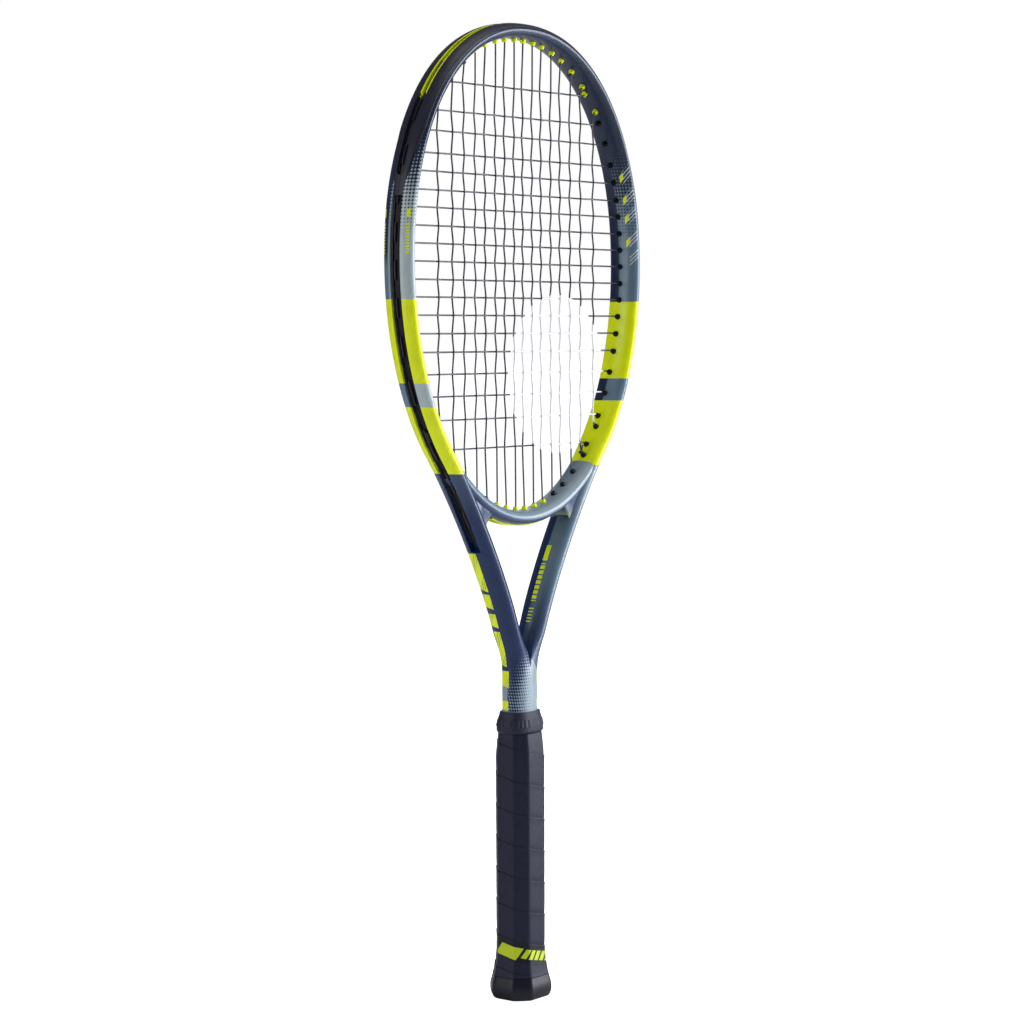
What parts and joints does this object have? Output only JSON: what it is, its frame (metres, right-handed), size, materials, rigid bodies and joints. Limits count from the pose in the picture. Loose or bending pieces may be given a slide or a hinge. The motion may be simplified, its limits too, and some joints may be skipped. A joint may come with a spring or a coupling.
{
  "type": "tennis racket",
  "caption": "Strung tennis racket: oval head on a slim beam, open V throat with a bridge, octagonal grip with a flared butt and a rubber collar.",
  "frame": {"origin": "centre of the butt's flat end face, on the racket's long axis", "axes": "+X across the head, +Y through the head's thickness (the front is -Y), +Z from the butt to the crown"},
  "size_m": [0.267, 0.0384, 0.6848],
  "materials": {
    "frame_paint": "glossy paint on graphite composite, navy fading to steel blue with lime panels",
    "bridge_paint": "glossy light steel-blue paint on graphite composite",
    "bumper": "satin moulded nylon",
    "lime_grommet": "satin moulded nylon, lime",
    "black_grommet": "satin moulded nylon",
    "string": "glossy monofilament",
    "pallet_foam": "rigid foam",
    "butt_plastic": "satin moulded plastic",
    "staple_steel": "bright wire",
    "grip_leather": "synthetic leather, soft sheen",
    "tape": "vinyl tape",
    "collar_rubber": "moulded rubber"
  },
  "bodies": {
    "racket": {"frame_tube": "frame_paint", "throat_bridge": "bridge_paint", "bumper_guard": "bumper", "head_grommet_strip": "lime_grommet", "throat_grommet_strip": "lime_grommet", "left_grommet_strip": "black_grommet", "right_grommet_strip": "black_grommet", "main_string": "string", "cross_string": "string", "front_pallet": "pallet_foam", "back_pallet": "pallet_foam", "butt_cap": "butt_plastic", "butt_cap_door": "butt_plastic", "staple_front_left": "staple_steel", "staple_front_right": "staple_steel", "staple_back_left": "staple_steel", "staple_back_right": "staple_steel", "grip": "grip_leather", "finishing_tape": "tape"},
    "collar": {"grip_collar": "collar_rubber"}
  },
  "joints": [
    {"name": "collar_slide", "type": "slide", "parent": "racket", "child": "collar", "axis": [0, 0, 1], "range_m": [0, 0.022]}
  ]
}
